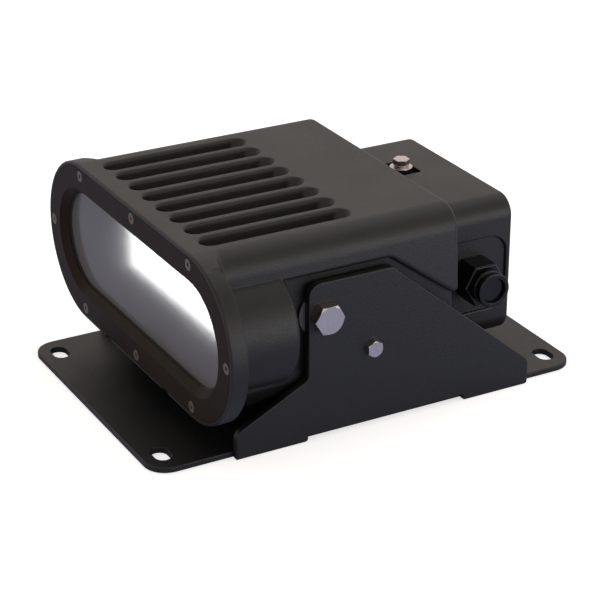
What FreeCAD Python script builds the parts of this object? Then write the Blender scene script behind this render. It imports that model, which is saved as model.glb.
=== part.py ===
import FreeCAD, Part

import math
import os

import Sketcher

# Explosion-proof LED floodlight on a fixed bracket.
# The origin is the centre of the four fixing slots, on the underside of the base plate.
# The window looks along -Y, +Z is up, and the cable gland is on the +X side.
# Lengths are in millimetres and angles in degrees.

SIZES = {
    # Base plate, with its four slotted fixing holes
    "base_width": 196.0,
    "base_length": 310.0,
    "base_thickness": 4.0,
    "base_corner": 15.0,
    "fixing_side": 18.7,
    "fixing_end": 13.5,
    "fixing_width": 11.0,
    "fixing_play": 6.0,
    # Side plates that stand against the long edges of the base plate
    "plate_thickness": 5.0,
    "foot_length": 50.0,
    "plate_front": 101.4,
    "plate_rear": 112.6,
    "plate_neck_front": 51.3,
    "plate_top": 106.3,
    "plate_shoulder": 7.8,
    "plate_toe": 18.0,
    "plate_knee": 42.9,
    "plate_heel": 17.5,
    "toe_corner": 9.0,
    "neck_corner": 9.0,
    "knee_corner": 5.0,
    "shoulder_corner": 4.0,
    "notch_corner": 2.0,
    "plate_edge": 0.8,
    # Tilt axis, its bolts and the screws that lock it
    "pivot_back": 40.2,
    "pivot_height": 83.9,
    "pivot_thread": 12.0,
    "pivot_hex": 18.0,
    "pivot_head": 7.6,
    "pivot_grip": 15.0,
    "lock_back": 5.9,
    "lock_height": 54.7,
    "lock_thread": 6.0,
    "lock_hex": 10.0,
    "lock_head": 4.0,
    "tilt_down": 7.0,
    "tilt_up": 5.0,
    "tilt_spare": 0.5,
    # Fits shared by all pieces
    "hole_clearance": 0.3,
    "thread_gap": 0.05,
    "thread_end": 0.5,
    "running_gap": 0.1,
    # Head: flange and barrel round the window
    "front_reach": 121.0,
    "window_height": 79.1,
    "window_half_span": 81.5,
    "flange_radius": 55.0,
    "flange_depth": 11.5,
    "flange_front_round": 1.5,
    "flange_rear_round": 1.0,
    "barrel_radius": 39.0,
    "barrel_length": 44.5,
    "barrel_round": 5.0,
    "drain_offset": 43.0,
    "drain_width": 8.5,
    # Head: the cast block behind the flange
    "housing_rear": 58.0,
    "block_half_top": 98.0,
    "block_half_bottom": 106.0,
    "block_top_round": 17.0,
    "core_half": 95.4,
    "core_round": 16.0,
    "ledge_height": 110.5,
    "ledge_end": 8.0,
    "pocket_heel": 74.4,
    "pocket_corner": 6.0,
    "rear_round": 3.5,
    "ledge_round": 3.2,
    "root_round": 6.0,
    "root_start": 129.0,
    # Cooling slots in the top
    "slot_pitch": 20.0,
    "slot_count": 8,
    "slot_front": 107.5,
    "slot_rear": 4.5,
    "slot_width": 13.6,
    "slot_depth": 16.0,
    "slot_floor_width": 9.0,
    "slot_floor_front": 105.0,
    "slot_floor_rear": 17.0,
    "slot_round": 2.2,
    # Pivot boss and the curved groove for the lock screw
    "boss_radius": 15.0,
    "boss_gap": 0.6,
    "groove_pad": 7.0,
    "groove_depth": 4.5,
    "screw_tip_gap": 0.3,
    # Window stack, from the front
    "ring_gap": 0.25,
    "ring_thickness": 5.0,
    "ring_lip": 2.0,
    "ring_opening": 33.0,
    "ring_bevel": 4.6,
    "collar_length": 0.6,
    "gasket_thickness": 1.5,
    "glass_thickness": 10.0,
    "glass_radius": 35.4,
    "glass_gap": 0.3,
    "diffuser_radius": 33.4,
    "diffuser_thickness": 3.0,
    "chamber_radius": 31.8,
    "chamber_rear": 70.0,
    # Ring screws
    "ring_screw_line": 47.45,
    "ring_screw_span": 80.5,
    "ring_screw_thread": 4.0,
    "ring_screw_head": 7.4,
    "ring_screw_length": 10.0,
    "ring_screw_hex": 2.5,
    "ring_screw_socket": 1.3,
    "head_land": 0.3,
    # Light source
    "pad_thickness": 0.8,
    "board_thickness": 1.6,
    "board_radius": 31.0,
    "chip_size": 5.0,
    "chip_height": 1.8,
    "chip_pitch": 16.0,
    "chip_columns": 11,
    "board_screw_thread": 3.0,
    "board_screw_head": 5.5,
    "board_screw_head_height": 2.0,
    "board_screw_grip": 5.0,
    "lead_hole": 9.0,
    # Driver chamber and driver
    "bay_half": 50.0,
    "bay_bottom": 36.0,
    "bay_top": 103.0,
    "bay_front": 58.0,
    "bay_corner": 8.0,
    "driver_half": 36.0,
    "driver_length": 88.0,
    "driver_height": 34.0,
    "driver_front": 46.0,
    "driver_foot": 10.0,
    "driver_foot_thickness": 4.0,
    "driver_round": 2.0,
    "driver_screw_thread": 4.0,
    "driver_screw_head": 7.0,
    "driver_screw_head_height": 3.0,
    "driver_screw_grip": 6.0,
    # Terminal box
    "box_half": 67.5,
    "box_bottom": 21.0,
    "box_top": 117.5,
    "box_rear": 120.0,
    "box_corner": 13.5,
    "box_front_wall": 9.0,
    "cavity_rim": 13.5,
    "cavity_corner": 12.0,
    "box_edge_round": 2.5,
    "box_screw_thread": 5.0,
    "box_screw_head": 8.5,
    "box_screw_head_height": 5.0,
    "box_screw_inset": 10.2,
    "box_screw_hex": 4.0,
    "box_screw_grip": 11.0,
    "box_seal_width": 2.5,
    "box_seal_depth": 2.0,
    "box_seal_inset": 1.2,
    # Cover let into the rear of the terminal box
    "cover_rim": 3.5,
    "cover_corner": 9.5,
    "cover_thickness": 6.0,
    "cover_gap": 0.25,
    "cover_edge": 0.5,
    "cover_seal": 2.0,
    "cover_seal_back": 3.0,
    "cover_screw_rise": 15.0,
    "cover_screw_spread": 27.0,
    "cover_screw_length": 13.0,
    "spigot_wall": 6.0,
    "spigot_length": 8.0,
    # Cable gland and its spot face
    "gland_back": 90.5,
    "gland_height": 67.5,
    "gland_thread": 20.0,
    "gland_hex": 27.0,
    "gland_hex_length": 16.0,
    "gland_grip": 9.5,
    "gland_edge": 0.8,
    "gland_bore": 12.0,
    "gland_nut": 23.0,
    "gland_nut_length": 10.5,
    "gland_groove": 1.0,
    "gland_blank_recess": 2.5,
    "gland_blank": 17.0,
    "gland_blank_thickness": 2.0,
    "gland_washer": 1.0,
    "spot_half": 25.5,
    "spot_depth": 2.0,
    "spot_corner": 13.0,
    # Earth terminals
    "earth_across": 12.0,
    "earth_back": 83.0,
    "earth_thread": 6.0,
    "earth_hex": 10.0,
    "earth_head": 4.0,
    "earth_edge": 0.5,
    "earth_grip": 8.0,
    "earth_washer": 15.4,
    "earth_spring_washer": 10.6,
    "earth_washer_thickness": 1.6,
    "earth_recess_length": 24.0,
    "earth_recess_width": 18.0,
    "earth_recess_depth": 5.0,
    "earth_recess_corner": 2.0,
    "earth_boss": 12.0,
    "inner_earth_across": 36.0,
    "inner_earth_height": 50.0,
    "inner_earth_grip": 6.0,
    # Parts inside the terminal box
    "bushing_height": 58.0,
    "bushing_thread": 25.0,
    "bushing_hex": 30.0,
    "bushing_hex_length": 6.0,
    "bushing_proud": 8.0,
    "block_length": 62.0,
    "block_depth": 24.0,
    "block_height": 22.0,
    "block_centre": 92.0,
    "way_pitch": 18.0,
    "way_hole": 8.0,
    "way_depth": 12.0,
    "clamp_screw": 6.0,
    "clamp_screw_length": 9.0,
}

ROOT_THREE = math.sqrt(3.0)
CROWN_ANGLE = math.radians(30.0)
FULL_TURN = 360.0
OVERLAP = 1.0  # how far a form runs into its neighbour, or a cut past it
CORNER_SHARE = 0.1  # where on its two sides a corner is picked for its rounding
BOARD_SCREW_COLUMNS = (-4.5, -1.5, 1.5, 4.5)  # in chip pitches from the middle
TERMINAL_WAYS = 3
NUT_STEPS = 5  # parts of the gland nut's length between its two ribs and its end


class Size:
    """A number and the formula that gives it from the sheet of sizes."""

    def __init__(self, number, formula):
        self.number = number
        self.formula = formula

    def join(self, mark, other, number):
        return Size(number, f"({self.formula} {mark} {other.formula})")

    def __add__(self, other):
        other = as_size(other)
        return self.join("+", other, self.number + other.number)

    def __sub__(self, other):
        other = as_size(other)
        return self.join("-", other, self.number - other.number)

    def __mul__(self, other):
        other = as_size(other)
        return self.join("*", other, self.number * other.number)

    def __truediv__(self, other):
        other = as_size(other)
        return self.join("/", other, self.number / other.number)

    def __radd__(self, other):
        return as_size(other) + self

    def __rsub__(self, other):
        return as_size(other) - self

    def __rmul__(self, other):
        return as_size(other) * self

    def __neg__(self):
        return Size(-self.number, f"(-{self.formula})")


def cosine_of(angle):
    angle = as_size(angle)
    return Size(math.cos(math.radians(angle.number)), f"cos({angle.formula} * 1 deg)")


def sine_of(angle):
    angle = as_size(angle)
    return Size(math.sin(math.radians(angle.number)), f"sin({angle.formula} * 1 deg)")


def as_size(value):
    if isinstance(value, Size):
        return value
    return Size(float(value), repr(float(value)))


class Sizes:
    """The sheet of driving sizes, read by name."""

    def __init__(self, document):
        sheet = document.addObject("Spreadsheet::Sheet", "sizes")
        for row, (name, number) in enumerate(SIZES.items(), start=1):
            sheet.set(f"A{row}", name.replace("_", " "))
            sheet.set(f"B{row}", str(number))
            sheet.setAlias(f"B{row}", name)
        document.recompute()
        for name in SIZES:
            setattr(self, name, Size(float(sheet.get(name)), f"sizes.{name}"))


doc = FreeCAD.newDocument("floodlight")
s = Sizes(doc)
ORIGIN = as_size(0.0)
PIECES = []

# Each origin plane's own directions: how a place in space becomes an offset on the plane
PLANES = {
    "XY": lambda x, y, z: (x, y, z),
    "XZ": lambda x, y, z: (x, z, -y),
    "YZ": lambda x, y, z: (y, z, x),
}


def bind(thing, name, size):
    """Gives a property the formula of a size."""
    thing.setExpression(name, as_size(size).formula)


def new_body(name, kept=True):
    """Starts one piece, which may be a group of like solids. A form that joins another isn't kept."""
    body = doc.addObject("PartDesign::Body", name)
    body.Label = name
    body.AllowCompound = True
    if kept:
        PIECES.append(body)
    return body


def origin_feature(body, role):
    return next(item for item in body.Origin.OriginFeatures if item.Role == role)


def sketch_on(body, plane, x=0.0, y=0.0, z=0.0):
    """A sketch parallel to an origin plane, with its own zero at the place x, y, z."""
    sketch = body.newObject("Sketcher::SketchObject", f"{body.Name}_sketch")
    sketch.AttachmentSupport = (origin_feature(body, f"{plane}_Plane"), "")
    sketch.MapMode = "FlatFace"
    offsets = PLANES[plane](as_size(x), as_size(y), as_size(z))
    for axis, offset in zip("xyz", offsets):
        bind(sketch, f"AttachmentOffset.Base.{axis}", offset)
    return sketch


def constrain(sketch, kind, *items):
    """A constraint with a size as its last item, tied to that size's formula."""
    size = as_size(items[-1])
    index = sketch.addConstraint(Sketcher.Constraint(kind, *items[:-1], size.number))
    sketch.setExpression(f"Constraints[{index}]", size.formula)


def fix_point(sketch, geometry, end, place):
    """Holds a point of the sketch at a place given by two sizes."""
    for kind, axis, value in zip(("DistanceX", "DistanceY"), (-2, -1), place):
        size = as_size(value)
        if size.formula in ("0.0", "-0.0"):
            sketch.addConstraint(Sketcher.Constraint("PointOnObject", geometry, end, axis))
        else:
            constrain(sketch, kind, -1, 1, geometry, end, size)


def vector(place):
    return FreeCAD.Vector(as_size(place[0]).number, as_size(place[1]).number, 0.0)


def outline(sketch, corners, rounds=None):
    """A closed outline through its corners. rounds gives some corners a radius by their number."""
    count = len(corners)
    first = sketch.GeometryCount
    points = [vector(corner) for corner in corners]
    for step, point in enumerate(points):
        sketch.addGeometry(Part.LineSegment(point, points[(step + 1) % count]), False)
    for step in range(count):
        following = first + (step + 1) % count
        sketch.addConstraint(Sketcher.Constraint("Coincident", first + step, 2, following, 1))
    for step, corner in enumerate(corners):
        fix_point(sketch, first + step, 1, corner)
    for step, radius in (rounds or {}).items():
        before = points[step] + (points[step - 1] - points[step]) * CORNER_SHARE
        after = points[step] + (points[(step + 1) % count] - points[step]) * CORNER_SHARE
        lines = (first + (step - 1) % count, first + step)
        arc = sketch.GeometryCount
        sketch.fillet(*lines, before, after, as_size(radius).number, True, True)
        constrain(sketch, "Radius", arc, radius)


def rectangle(sketch, half_width, half_height, corner=None, middle=(0.0, 0.0)):
    """A rectangle about its middle, with all four corners rounded where a corner radius is given."""
    across, up = as_size(middle[0]), as_size(middle[1])
    corners = [
        (across - half_width, up - half_height),
        (across + half_width, up - half_height),
        (across + half_width, up + half_height),
        (across - half_width, up + half_height),
    ]
    rounds = None if corner is None else {step: corner for step in range(4)}
    outline(sketch, corners, rounds)


def hexagon(sketch, across_flats, middle=(0.0, 0.0), flat_up=True):
    """A hexagon given by its width across flats."""
    side = as_size(across_flats) / ROOT_THREE
    corners = []
    for step in range(6):
        angle = math.radians(60.0 * step + (0.0 if flat_up else 30.0))
        corners.append((middle[0] + side * math.cos(angle), middle[1] + side * math.sin(angle)))
    outline(sketch, corners)


def circle(sketch, radius, middle=(0.0, 0.0)):
    round_line = Part.Circle(vector(middle), FreeCAD.Vector(0, 0, 1), as_size(radius).number)
    index = sketch.addGeometry(round_line, False)
    fix_point(sketch, index, 3, middle)
    constrain(sketch, "Radius", index, radius)


def obround(sketch, half_span, radius, middle=(0.0, 0.0), upright=False):
    """Two half circles joined by straight lines. half_span is from its middle to either centre."""
    across, up = as_size(middle[0]), as_size(middle[1])
    half, reach = as_size(half_span), as_size(radius)
    if upright:
        ends = [(across, up - half), (across, up + half)]
        turn = 0.0
    else:
        ends = [(across + half, up), (across - half, up)]
        turn = 90.0
    arcs, tips = [], []
    for step, end in enumerate(ends):
        start = math.radians(180.0 * (step + 1) + turn if upright else 180.0 * step - turn)
        around = Part.Circle(vector(end), FreeCAD.Vector(0, 0, 1), reach.number)
        arc = Part.ArcOfCircle(around, start, start + math.pi)
        arcs.append(sketch.addGeometry(arc, False))
        tips.append((arc.StartPoint, arc.EndPoint))
    lines = [
        sketch.addGeometry(Part.LineSegment(tips[0][1], tips[1][0]), False),
        sketch.addGeometry(Part.LineSegment(tips[1][1], tips[0][0]), False),
    ]
    for step in range(2):
        sketch.addConstraint(Sketcher.Constraint("Tangent", arcs[step], 2, lines[step], 1))
        sketch.addConstraint(Sketcher.Constraint("Tangent", lines[step], 2, arcs[1 - step], 1))
        fix_point(sketch, arcs[step], 3, ends[step])
    constrain(sketch, "Radius", arcs[0], reach)


def tip_volume(body):
    return body.Tip.Shape.Volume if body.Tip else 0.0


def feature(body, kind, adds, prepare):
    """Adds one feature, and makes sure that it really added or removed material."""
    before = tip_volume(body)
    item = body.newObject(f"PartDesign::{kind}", f"{body.Name}_{kind.lower()}")
    prepare(item)
    doc.recompute()
    after = item.Shape.Volume
    if (adds and after <= before) or (not adds and after >= before):
        raise RuntimeError(f"{item.Name} changed nothing: {before:.1f} to {after:.1f}")
    return item


def plane_of(sketch):
    return sketch.AttachmentSupport[0][0].Role[:2]


def pad(sketch, length, back=False, taper=None):
    """Adds material from the sketch along its positive axis, or the other way where back is set."""

    def prepare(item):
        item.Profile = sketch
        bind(item, "Length", length)
        item.Reversed = (plane_of(sketch) == "XZ") != back
        if taper is not None:
            bind(item, "TaperAngle", taper)

    return feature(sketch.getParentGeoFeatureGroup(), "Pad", True, prepare)


def pocket(sketch, length, back=False):
    """Cuts from the sketch along its positive axis, or the other way where back is set."""

    def prepare(item):
        item.Profile = sketch
        bind(item, "Length", length)
        item.Reversed = (plane_of(sketch) != "XZ") != back

    return feature(sketch.getParentGeoFeatureGroup(), "Pocket", False, prepare)


def spin(sketch, adds=True):
    """Turns a profile about the sketch's own horizontal axis, to add or to cut."""

    def prepare(item):
        item.Profile = sketch
        item.ReferenceAxis = (sketch, ["H_Axis"])
        item.Angle = FULL_TURN

    kind = "Revolution" if adds else "Groove"
    return feature(sketch.getParentGeoFeatureGroup(), kind, adds, prepare)


def mirror(body, items, side, adds):
    """Repeats features on the other side of an origin plane."""

    def prepare(item):
        item.Originals = items
        item.MirrorPlane = (origin_feature(body, f"{side}_Plane"), [""])
        body.Tip = item

    return feature(body, "Mirrored", adds, prepare)


def row(body, items, axis, span, count, adds):
    """Repeats features along an origin axis, over a whole span."""

    def prepare(item):
        item.Originals = items
        item.Direction = (origin_feature(body, f"{axis}_Axis"), [""])
        bind(item, "Length", span)
        bind(item, "Occurrences", count)
        body.Tip = item

    return feature(body, "LinearPattern", adds, prepare)


def edges_where(body, test):
    """Names of the edges of a body's last shape that pass a test."""
    edges = body.Tip.Shape.Edges
    return [f"Edge{number}" for number, edge in enumerate(edges, start=1) if test(edge)]


def finish_edges(body, kind, name, size, test):
    names = edges_where(body, test)
    if not names:
        raise RuntimeError(f"{body.Name}: no edge found for its {kind.lower()}")
    base = body.Tip
    item = body.newObject(f"PartDesign::{kind}", f"{body.Name}_{kind.lower()}")
    item.Base = (base, names)
    bind(item, name, size)
    doc.recompute()
    return item


def fillet(body, radius, test):
    return finish_edges(body, "Fillet", "Radius", radius, test)


def chamfer(body, size, test):
    return finish_edges(body, "Chamfer", "Size", size, test)


NEAR = 0.01


def is_near(value, size):
    return abs(value - as_size(size).number) < NEAR


def lies_in(edge, axis, place):
    """True where the whole edge lies in the plane axis = place."""
    box = edge.BoundBox
    low = getattr(box, f"{axis}Min")
    high = getattr(box, f"{axis}Max")
    return is_near(low, place) and is_near(high, place)


def runs_along(edge, axis):
    """True for a straight edge parallel to an axis."""
    if edge.Curve.TypeId != "Part::GeomLine":
        return False
    box = edge.BoundBox
    return all(getattr(box, f"{other}Length") < NEAR for other in "XYZ" if other != axis)


def is_round(edge, radius):
    return edge.Curve.TypeId == "Part::GeomCircle" and is_near(edge.Curve.Radius, radius)


# Places worked out from the sizes
front = -s.front_reach
flange_rear = front + s.flange_depth
barrel_rear = flange_rear + s.barrel_length
block_front = flange_rear - s.flange_rear_round * 2
body_top = s.window_height + s.flange_radius
body_bottom = s.window_height - s.flange_radius
pivot_y = -s.pivot_back
lock_y = -s.lock_back
plate_inner = s.base_width / 2
plate_outer = plate_inner + s.plate_thickness
ring_seat = front + s.ring_thickness
ring_recess = s.flange_radius - s.ring_lip
front_gasket_y = ring_seat + s.collar_length
glass_y = front_gasket_y + s.gasket_thickness
rear_gasket_y = glass_y + s.glass_thickness
diffuser_y = rear_gasket_y + s.gasket_thickness
chamber_front = diffuser_y + s.diffuser_thickness
chamber_rear = -s.chamber_rear
pad_y = chamber_rear - s.pad_thickness
board_y = pad_y - s.board_thickness
chip_y = board_y - s.chip_height
bay_front = -s.bay_front
bay_height = s.bay_top - s.bay_bottom
bay_middle = (s.bay_top + s.bay_bottom) / 2
box_middle = (s.box_top + s.box_bottom) / 2
box_half_height = (s.box_top - s.box_bottom) / 2
box_front = s.housing_rear
cavity_front = box_front + s.box_front_wall
cover_front = s.box_rear - s.cover_thickness
cavity_half = s.box_half - s.cavity_rim
cavity_half_height = box_half_height - s.cavity_rim
recess_half = s.box_half - s.cover_rim
recess_half_height = box_half_height - s.cover_rim
spot_face = s.box_half - s.spot_depth
gland_washer_face = spot_face + s.gland_washer
gland_hex_face = gland_washer_face + s.gland_hex_length
gland_end = gland_hex_face + s.gland_nut_length


# Bracket


def base_plate():
    body = new_body("base_plate")
    plan = sketch_on(body, "XY")
    rectangle(plan, s.base_width / 2, s.base_length / 2, s.base_corner)
    for across in (-1, 1):
        for along in (-1, 1):
            middle = (
                (s.base_width / 2 - s.fixing_side) * across,
                (s.base_length / 2 - s.fixing_end) * along,
            )
            obround(plan, s.fixing_play / 2, s.fixing_width / 2, middle)
    pad(plan, s.base_thickness)
    fillet(body, s.plate_edge, is_base_edge)


def is_base_edge(edge):
    """True for the outer edges of the base plate, above and below."""
    outer = any(
        lies_in(edge, axis, half * side)
        for axis, half in (("X", s.base_width / 2), ("Y", s.base_length / 2))
        for side in (-1, 1)
    )
    level = lies_in(edge, "Z", ORIGIN) or lies_in(edge, "Z", s.base_thickness)
    return level and (outer or is_round(edge, s.base_corner))


def side_plate(name, side):
    """One side plate: feet, notch between them, sloping front and rear, holes for bolt and screw."""
    body = new_body(name)
    face = plate_inner if side > 0 else -plate_outer
    profile = sketch_on(body, "YZ", x=face)
    corners = [
        (-s.plate_front, ORIGIN),
        (s.foot_length - s.plate_front, ORIGIN),
        (s.foot_length - s.plate_front, s.base_thickness),
        (s.plate_rear - s.foot_length, s.base_thickness),
        (s.plate_rear - s.foot_length, ORIGIN),
        (s.plate_rear, ORIGIN),
        (s.plate_rear, s.plate_heel),
        (s.plate_shoulder, s.plate_top),
        (-s.plate_neck_front, s.plate_top),
        (-s.plate_neck_front, s.plate_knee),
        (-s.plate_front, s.plate_toe),
    ]
    rounds = {
        1: s.notch_corner,
        4: s.notch_corner,
        5: s.notch_corner,
        6: s.toe_corner,
        7: s.shoulder_corner,
        8: s.neck_corner,
        9: s.knee_corner,
        10: s.toe_corner,
    }
    outline(profile, corners, rounds)
    circle(profile, s.pivot_thread / 2 + s.hole_clearance, (pivot_y, s.pivot_height))
    circle(profile, s.lock_thread / 2 + s.thread_gap, (lock_y, s.lock_height))
    pad(profile, s.plate_thickness)
    outer = plate_outer * side
    closed = (s.pivot_thread / 2 + s.hole_clearance, s.lock_thread / 2 + s.thread_gap)
    fillet(
        body,
        s.plate_edge,
        lambda edge: lies_in(edge, "X", outer) and not any(is_round(edge, hole) for hole in closed),
    )


def hex_bolts(name, place, thread, hex_width, seat, head, tip, flat_up):
    """A bolt through each side plate: crowned head outside its seat, shank inwards to its tip."""
    body = new_body(name)
    y, z = place
    flats = sketch_on(body, "YZ", x=seat, y=y, z=z)
    hexagon(flats, hex_width, flat_up=flat_up)
    head_pad = pad(flats, head)
    crown = sketch_on(body, "XZ", y=y, z=z)
    end = seat + head
    corner = hex_width / ROOT_THREE
    slope = (corner - hex_width / 2) * math.tan(CROWN_ANGLE)
    outside = corner + slope
    back = end - slope * 2
    outline(crown, [(end, hex_width / 2), (end, outside), (back, outside), (end - slope, corner)])
    crown_cut = spin(crown, adds=False)
    round_bar = sketch_on(body, "YZ", x=tip, y=y, z=z)
    circle(round_bar, thread / 2)
    shank_pad = pad(round_bar, seat - tip)
    mirror(body, [head_pad, crown_cut, shank_pad], "YZ", adds=True)


def pivot_tip():
    return s.core_half - s.pivot_grip + s.groove_depth


def pivot_bolts():
    place = (pivot_y, s.pivot_height)
    seat = plate_outer + s.running_gap
    hex_bolts("pivot_bolts", place, s.pivot_thread, s.pivot_hex, seat, s.pivot_head, pivot_tip(), True)


def groove_floor():
    return plate_inner - s.boss_gap - s.groove_depth


def lock_screws():
    tip = groove_floor() + s.screw_tip_gap
    place = (lock_y, s.lock_height)
    hex_bolts("lock_screws", place, s.lock_thread, s.lock_hex, plate_outer, s.lock_head, tip, False)


def pivot_washers():
    """Friction washers between the bosses of the head and the side plates."""
    body = new_body("pivot_washers")
    face = plate_inner - s.boss_gap
    rings = sketch_on(body, "YZ", x=face, y=pivot_y, z=s.pivot_height)
    circle(rings, s.boss_radius)
    circle(rings, s.pivot_thread / 2 + s.hole_clearance)
    ring = pad(rings, s.boss_gap - s.running_gap)
    mirror(body, [ring], "YZ", adds=True)


# Head casting


def window_form():
    """Barrel and flange round the window, shaped on their own before they join the block."""
    body = new_body("window_form", kept=False)
    barrel = sketch_on(body, "XZ", y=flange_rear, z=s.window_height)
    obround(barrel, s.window_half_span, s.barrel_radius)
    pad(barrel, s.barrel_length)
    fillet(body, s.barrel_round, lambda edge: lies_in(edge, "Y", barrel_rear))
    flange = sketch_on(body, "XZ", y=front, z=s.window_height)
    obround(flange, s.window_half_span, s.flange_radius)
    pad(flange, s.flange_depth)
    fillet(body, s.flange_rear_round, lambda edge: lies_in(edge, "Y", flange_rear) and is_outer(edge))
    fillet(body, s.flange_front_round, lambda edge: lies_in(edge, "Y", front))
    return body


def is_outer(edge):
    """True for the edges of the flange, which lie outside the barrel."""
    if edge.Curve.TypeId == "Part::GeomCircle":
        return is_near(edge.Curve.Radius, s.flange_radius)
    height = abs(edge.CenterOfMass.z - s.window_height.number)
    return is_near(height, s.flange_radius)


def block_form(body):
    """The slotted block: a narrow core below, and cheeks that overhang the side plates."""
    core = sketch_on(body, "XZ", y=block_front)
    corners = [
        (-s.core_half, body_bottom),
        (s.core_half, body_bottom),
        (s.core_half, s.ledge_height + OVERLAP),
        (-s.core_half, s.ledge_height + OVERLAP),
    ]
    outline(core, corners, {0: s.core_round, 1: s.core_round})
    pad(core, s.housing_rear - block_front)
    cheeks = sketch_on(body, "YZ", x=-s.block_half_bottom)
    side = [
        (block_front, s.ledge_height),
        (s.ledge_end, s.ledge_height),
        (s.housing_rear, s.pocket_heel),
        (s.housing_rear, body_top),
        (block_front, body_top),
    ]
    outline(cheeks, side, {1: s.pocket_corner})
    pad(cheeks, s.block_half_bottom * 2)
    trim = sketch_on(body, "XZ", y=block_front)
    rectangle(trim, s.block_half_bottom + OVERLAP, body_top, middle=(0.0, s.window_height))
    block_section(trim, body_bottom - OVERLAP)
    pocket(trim, s.housing_rear - block_front)
    fillet(body, s.rear_round, lambda edge: lies_in(edge, "Y", s.housing_rear))
    fillet(body, s.ledge_round, is_ledge)


def block_section(sketch, bottom, bottom_round=None):
    """The block's drafted sides and rounded top, down to a height."""
    share = (body_top - bottom) / (body_top - body_bottom + OVERLAP)
    half = s.block_half_top + (s.block_half_bottom - s.block_half_top) * share
    corners = [
        (-half, bottom),
        (half, bottom),
        (s.block_half_top, body_top),
        (-s.block_half_top, body_top),
    ]
    rounds = {2: s.block_top_round, 3: s.block_top_round}
    if bottom_round is not None:
        rounds.update({0: bottom_round, 1: bottom_round})
    outline(sketch, corners, rounds)


def is_ledge(edge):
    """True for the lower outer edges of the cheeks."""
    box = edge.BoundBox
    outside = min(abs(box.XMin), abs(box.XMax)) > s.core_half.number + OVERLAP
    below = box.ZMax < s.ledge_height.number + OVERLAP
    return outside and below and box.YMax < (s.housing_rear - s.rear_round + OVERLAP).number


def root_form():
    """The cast fillet between the cheeks and the flange, trimmed to the flange's outline."""
    body = new_body("root_form", kept=False)
    reach = s.root_round + OVERLAP
    slab_front = flange_rear - s.flange_rear_round
    half = s.window_half_span + s.flange_radius
    half_height = (body_top - s.ledge_height) / 2 + reach
    middle = (body_top + s.ledge_height) / 2
    slab = sketch_on(body, "XZ", y=slab_front, z=middle)
    rectangle(slab, half, half_height)
    pad(slab, s.flange_rear_round)
    section = sketch_on(body, "XZ", y=flange_rear)
    block_section(section, s.ledge_height, s.ledge_round)
    pad(section, reach)
    fillet(body, s.root_round, is_root)
    low = sketch_on(body, "XZ", y=slab_front, z=s.root_start - half_height)
    rectangle(low, half + OVERLAP, half_height)
    pocket(low, s.flange_rear_round)
    outside = sketch_on(body, "XZ", y=slab_front, z=s.window_height)
    rectangle(outside, half + OVERLAP, s.flange_radius + reach + OVERLAP)
    obround(outside, s.window_half_span, s.flange_radius)
    pocket(outside, s.flange_rear_round + reach)
    return body


def is_root(edge):
    """True for the line where the cheeks meet the flange."""
    box = edge.BoundBox
    inside = max(abs(box.XMin), abs(box.XMax)) < s.block_half_bottom.number
    level = box.ZMin > (s.ledge_height - OVERLAP).number and box.ZMax < body_top.number + NEAR
    return lies_in(edge, "Y", flange_rear) and inside and level


def cooling_slots(body):
    """A row of slots with drafted walls, steep at the front and ramped at the rear."""
    first = -s.slot_pitch * (s.slot_count - 1) / 2
    rim = sketch_on(body, "XY", x=first, y=-(s.slot_front + s.slot_rear) / 2, z=body_top)
    half = (s.slot_front - s.slot_rear - s.slot_width) / 2
    obround(rim, half, s.slot_width / 2, upright=True)
    floor_middle = -(s.slot_floor_front + s.slot_floor_rear) / 2
    floor = sketch_on(body, "XY", x=first, y=floor_middle, z=body_top - s.slot_depth)
    floor_half = (s.slot_floor_front - s.slot_floor_rear - s.slot_floor_width) / 2
    obround(floor, floor_half, s.slot_floor_width / 2, upright=True)

    def prepare(item):
        item.Profile = rim
        item.Sections = [floor]
        item.Ruled = True

    slot = feature(body, "SubtractiveLoft", False, prepare)
    row(body, [slot], "X", s.slot_pitch * (s.slot_count - 1), s.slot_count, adds=False)
    fillet(body, s.slot_round, is_slot_rim)


def is_slot_rim(edge):
    box = edge.BoundBox
    inside = box.YMin > front.number + OVERLAP and box.YMax < 0
    narrow = abs(edge.CenterOfMass.x) < (s.slot_pitch * s.slot_count / 2).number
    within = box.XLength < s.slot_width.number + NEAR
    return lies_in(edge, "Z", body_top) and inside and narrow and within


def pivot_bosses(body):
    """Round bosses for the pivot bolts, and raised pads with the grooves of the lock screws."""
    face = plate_inner - s.boss_gap
    root = s.core_half - OVERLAP
    boss = sketch_on(body, "YZ", x=root, y=pivot_y, z=s.pivot_height)
    circle(boss, s.boss_radius)
    boss_pad = pad(boss, face - root)
    raised = sketch_on(body, "YZ", x=root, y=pivot_y, z=s.pivot_height)
    lock_arc(raised, s.groove_pad)
    raised_pad = pad(raised, face - root)
    mirror(body, [boss_pad, raised_pad], "YZ", adds=True)
    hole = sketch_on(body, "YZ", x=face, y=pivot_y, z=s.pivot_height)
    circle(hole, s.pivot_thread / 2 + s.thread_gap)
    hole_cut = pocket(hole, face - pivot_tip() + OVERLAP, back=True)
    groove = sketch_on(body, "YZ", x=face, y=pivot_y, z=s.pivot_height)
    lock_arc(groove, s.lock_thread / 2 + s.hole_clearance)
    groove_cut = pocket(groove, s.groove_depth, back=True)
    mirror(body, [hole_cut, groove_cut], "YZ", adds=False)


def lock_place(turn):
    """Where the lock screw stands, seen from the pivot, once the head has turned by an angle."""
    across = s.pivot_back - s.lock_back
    up = s.lock_height - s.pivot_height
    cosine, sine = cosine_of(turn), sine_of(turn)
    return across * cosine + up * sine, up * cosine - across * sine


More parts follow.
